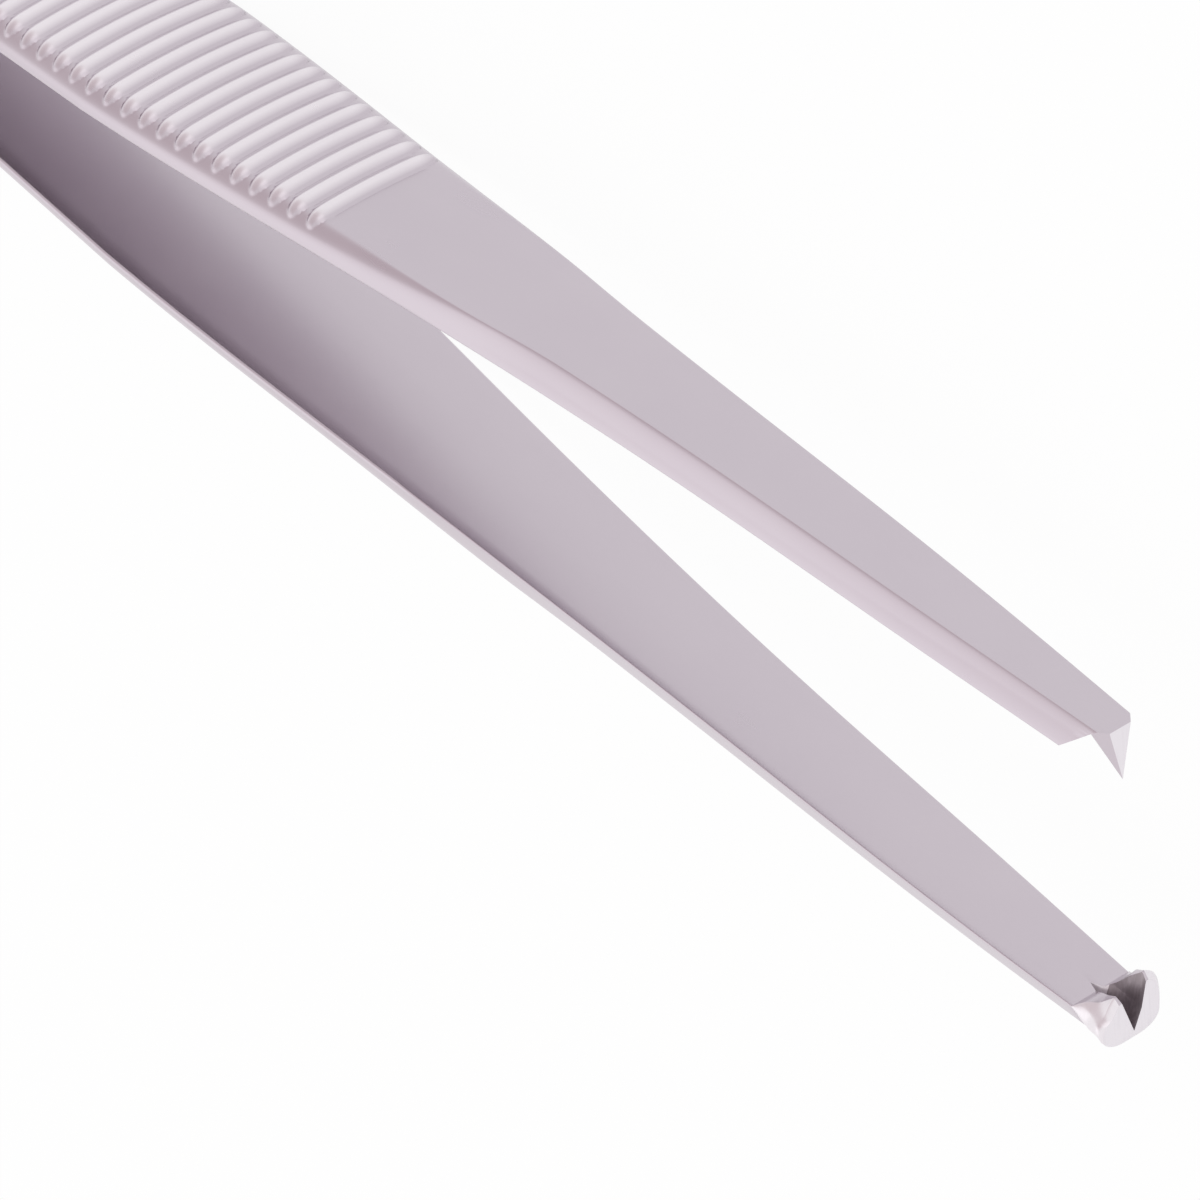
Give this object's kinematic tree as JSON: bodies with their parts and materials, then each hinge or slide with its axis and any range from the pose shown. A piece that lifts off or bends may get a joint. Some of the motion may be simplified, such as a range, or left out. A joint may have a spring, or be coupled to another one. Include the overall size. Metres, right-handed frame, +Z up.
{
  "type": "thumb forceps",
  "caption": "Toothed thumb forceps: two long sprung blades joined at the heel, with ribbed grips and interlocking teeth at the tips, lying on their side.",
  "frame": {"origin": "midway along the length, midway between the blades, on the surface that the forceps lie on", "axes": "+X from the heel to the tips, +Y across the opening toward the single-tooth blade, +Z up, across the width of the blades"},
  "size_m": [0.145, 0.0164, 0.0091],
  "materials": {
    "steel": "satin"
  },
  "bodies": {
    "root": {"single_tooth_blade": "steel", "double_tooth_blade": "steel"}
  },
  "joints": []
}
